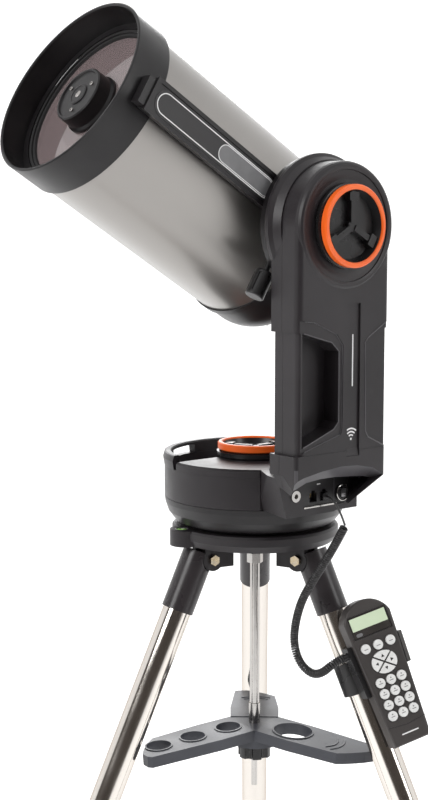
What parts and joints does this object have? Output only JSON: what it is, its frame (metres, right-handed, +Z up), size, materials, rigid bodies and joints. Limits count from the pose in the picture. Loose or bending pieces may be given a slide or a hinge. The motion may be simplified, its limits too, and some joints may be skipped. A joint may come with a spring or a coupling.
{
  "type": "schmidt cassegrain telescope",
  "caption": "Short closed-tube telescope on a motorised single-arm mount, standing on a folding steel tripod with an accessory tray and a corded hand control.",
  "frame": {"origin": "on the azimuth axis at floor level", "axes": "+Z up; the optical tube looks towards -Y and the fork arm stands on the +X side"},
  "size_m": [0.793, 0.7616, 1.5084],
  "materials": {
    "tube_paint": "metallic grey-champagne enamel, satin",
    "black_paint": "satin black, finely textured powder coat",
    "black_metal": "satin black",
    "glass": "coated optical glass",
    "mirror": "front aluminised",
    "grip_rubber": "matt",
    "black_plastic": "fine moulded texture",
    "orange_plastic": "satin orange",
    "brass": "machined",
    "plated_steel": "plated",
    "polished_steel": "polished tube",
    "foot_rubber": "matt",
    "tray_plastic": "grey moulded plastic",
    "screen": "pale green liquid crystal display",
    "keypad_rubber": "pale translucent silicone",
    "cord": "black flexible jacket"
  },
  "bodies": {
    "tripod": {"mount_base": "black_paint", "azimuth_worm_wheel": "brass", "tripod_head": "black_paint", "hinge_bolts": "plated_steel", "centre_rod": "plated_steel"},
    "turntable": {"turntable_drum": "black_plastic", "top_deck": "black_plastic", "arm_inner_shell": "black_plastic", "arm_outer_shell": "black_plastic", "port_panel": "black_plastic", "power_jack": "plated_steel", "battery_pack": "black_plastic", "altitude_motor": "plated_steel", "handset_lead": "cord"},
    "azimuth_clutch": {"azimuth_clutch_knob": "black_plastic", "azimuth_grip_ring": "orange_plastic"},
    "altitude_clutch": {"altitude_clutch_knob": "black_plastic", "altitude_grip_ring": "orange_plastic"},
    "switch": {"power_switch": "black_plastic"},
    "saddle": {"altitude_saddle": "black_paint", "altitude_worm_wheel": "brass"},
    "optical_tube": {"ota_tube": "tube_paint", "front_cell": "black_paint", "corrector_plate": "glass", "corrector_ring": "black_paint", "secondary_housing": "black_paint", "secondary_mirror": "mirror", "baffle_tube": "black_paint", "rear_cell": "black_paint", "visual_back": "black_metal", "dovetail_rail": "black_paint"},
    "main_mirror": {"primary_mirror": "mirror"},
    "focuser": {"focus_knob": "grip_rubber"},
    "saddle_clamp": {"saddle_knob": "black_plastic"},
    "keys": {"handset_keypad": "keypad_rubber"},
    "tray": {"accessory_tray": "tray_plastic"},
    "tray_clamp": {"tray_knob": "black_plastic"},
    "leg_rear": {"leg_sleeve_rear": "black_metal", "leg_tube_rear": "polished_steel", "leg_collar_rear": "black_plastic"},
    "extension_rear": {"leg_extension_rear": "polished_steel", "leg_foot_rear": "foot_rubber"},
    "lock_rear": {"leg_lock_rear": "black_plastic"},
    "leg_left": {"leg_sleeve_left": "black_metal", "leg_tube_left": "polished_steel", "leg_collar_left": "black_plastic"},
    "extension_left": {"leg_extension_left": "polished_steel", "leg_foot_left": "foot_rubber"},
    "lock_left": {"leg_lock_left": "black_plastic"},
    "leg_right": {"leg_sleeve_right": "black_metal", "leg_tube_right": "polished_steel", "leg_collar_right": "black_plastic", "handset_holder": "black_plastic", "handset_shell": "black_plastic", "handset_screen": "screen", "handset_plug": "black_plastic", "handset_cord": "cord"},
    "extension_right": {"leg_extension_right": "polished_steel", "leg_foot_right": "foot_rubber"},
    "lock_right": {"leg_lock_right": "black_plastic"}
  },
  "joints": [
    {"name": "azimuth", "type": "hinge", "parent": "tripod", "child": "turntable", "pos_m": [0, 0, 0.89], "axis": [0, 0, 1], "range_deg": [-180, 180]},
    {"name": "altitude", "type": "hinge", "parent": "turntable", "child": "saddle", "pos_m": [0, -0.024, 1.244], "axis": [-1, 0, 0], "range_deg": [-41.5, 58.5]},
    {"name": "tube_balance", "type": "slide", "parent": "saddle", "child": "optical_tube", "axis": [0, -0.8526, 0.5225], "range_m": [-0.03, 0.03]},
    {"name": "focus", "type": "hinge", "parent": "optical_tube", "child": "focuser", "pos_m": [-0.044, 0.05533, 1.14378], "axis": [0, -0.8526, 0.5225], "range_deg": [-3600, 3600]},
    {"name": "mirror_shift", "type": "slide", "parent": "optical_tube", "child": "main_mirror", "axis": [0, -0.8526, 0.5225], "range_m": [-0.0074, 0.0074]},
    {"name": "saddle_lock", "type": "hinge", "parent": "saddle", "child": "saddle_clamp", "pos_m": [0.1291, -0.0957, 1.18825], "axis": [0, -0.5225, -0.8526], "range_deg": [0, 720]},
    {"name": "azimuth_lock", "type": "hinge", "parent": "turntable", "child": "azimuth_clutch", "pos_m": [0, 0, 0.94], "axis": [0, 0, 1], "range_deg": [0, 270]},
    {"name": "altitude_lock", "type": "hinge", "parent": "turntable", "child": "altitude_clutch", "pos_m": [0.197, -0.024, 1.244], "axis": [1, 0, 0], "range_deg": [0, 270]},
    {"name": "power_rocker", "type": "hinge", "parent": "turntable", "child": "switch", "pos_m": [0.1573, 0.0085, 0.91], "axis": [0, 1, 0], "range_deg": [-14, 0]},
    {"name": "leg_fold_rear", "type": "hinge", "parent": "tripod", "child": "leg_rear", "pos_m": [-0.05566, 0.04754, 0.8073], "axis": [-0.6494, -0.7604, 0], "range_deg": [0, 23.9]},
    {"name": "leg_slide_rear", "type": "slide", "parent": "leg_rear", "child": "extension_rear", "axis": [-0.3081, 0.2631, -0.9143], "range_m": [0, 0.33]},
    {"name": "leg_lock_rear_turn", "type": "hinge", "parent": "leg_rear", "child": "lock_rear", "pos_m": [-0.31984, 0.27317, 0.14747], "axis": [-0.6952, 0.5938, 0.4051], "range_deg": [0, 720]},
    {"name": "leg_fold_left", "type": "hinge", "parent": "tripod", "child": "leg_left", "pos_m": [-0.01334, -0.07197, 0.8073], "axis": [0.9833, -0.1822, 0], "range_deg": [0, 23.9]},
    {"name": "leg_slide_left", "type": "slide", "parent": "leg_left", "child": "extension_left", "axis": [-0.0738, -0.3984, -0.9143], "range_m": [0, 0.33]},
    {"name": "leg_lock_left_turn", "type": "hinge", "parent": "leg_left", "child": "lock_left", "pos_m": [-0.07665, -0.41357, 0.14747], "axis": [-0.1666, -0.8989, 0.4051], "range_deg": [0, 720]},
    {"name": "leg_fold_right", "type": "hinge", "parent": "tripod", "child": "leg_right", "pos_m": [0.069, 0.02443, 0.8073], "axis": [-0.3338, 0.9426, 0], "range_deg": [0, 23.9]},
    {"name": "leg_slide_right", "type": "slide", "parent": "leg_right", "child": "extension_right", "axis": [0.3819, 0.1352, -0.9143], "range_m": [0, 0.33]},
    {"name": "leg_lock_right_turn", "type": "hinge", "parent": "leg_right", "child": "lock_right", "pos_m": [0.39649, 0.1404, 0.14747], "axis": [0.8618, 0.3052, 0.4051], "range_deg": [0, 720]},
    {"name": "tray_turn", "type": "hinge", "parent": "tripod", "child": "tray", "pos_m": [0, 0, 0.57], "axis": [0, 0, 1], "range_deg": [0, 60.1]},
    {"name": "tray_clamp_turn", "type": "hinge", "parent": "tripod", "child": "tray_clamp", "pos_m": [0, 0, 0.54], "axis": [0, 0, 1], "range_deg": [0, 360]},
    {"name": "key_press", "type": "slide", "parent": "leg_right", "child": "keys", "axis": [-0.872, 0.3804, -0.308], "range_m": [0, 0.001], "stiffness_N_per_m": 3000}
  ],
  "couplings": [
    {"joint": "focus", "follows": "mirror_shift", "rad_per_m": 8377.6},
    {"joint": "leg_fold_left", "follows": "leg_fold_rear", "ratio": 1},
    {"joint": "leg_fold_right", "follows": "leg_fold_rear", "ratio": 1},
    {"joint": "tray_turn", "follows": "leg_fold_rear", "ratio": 2.51}
  ]
}
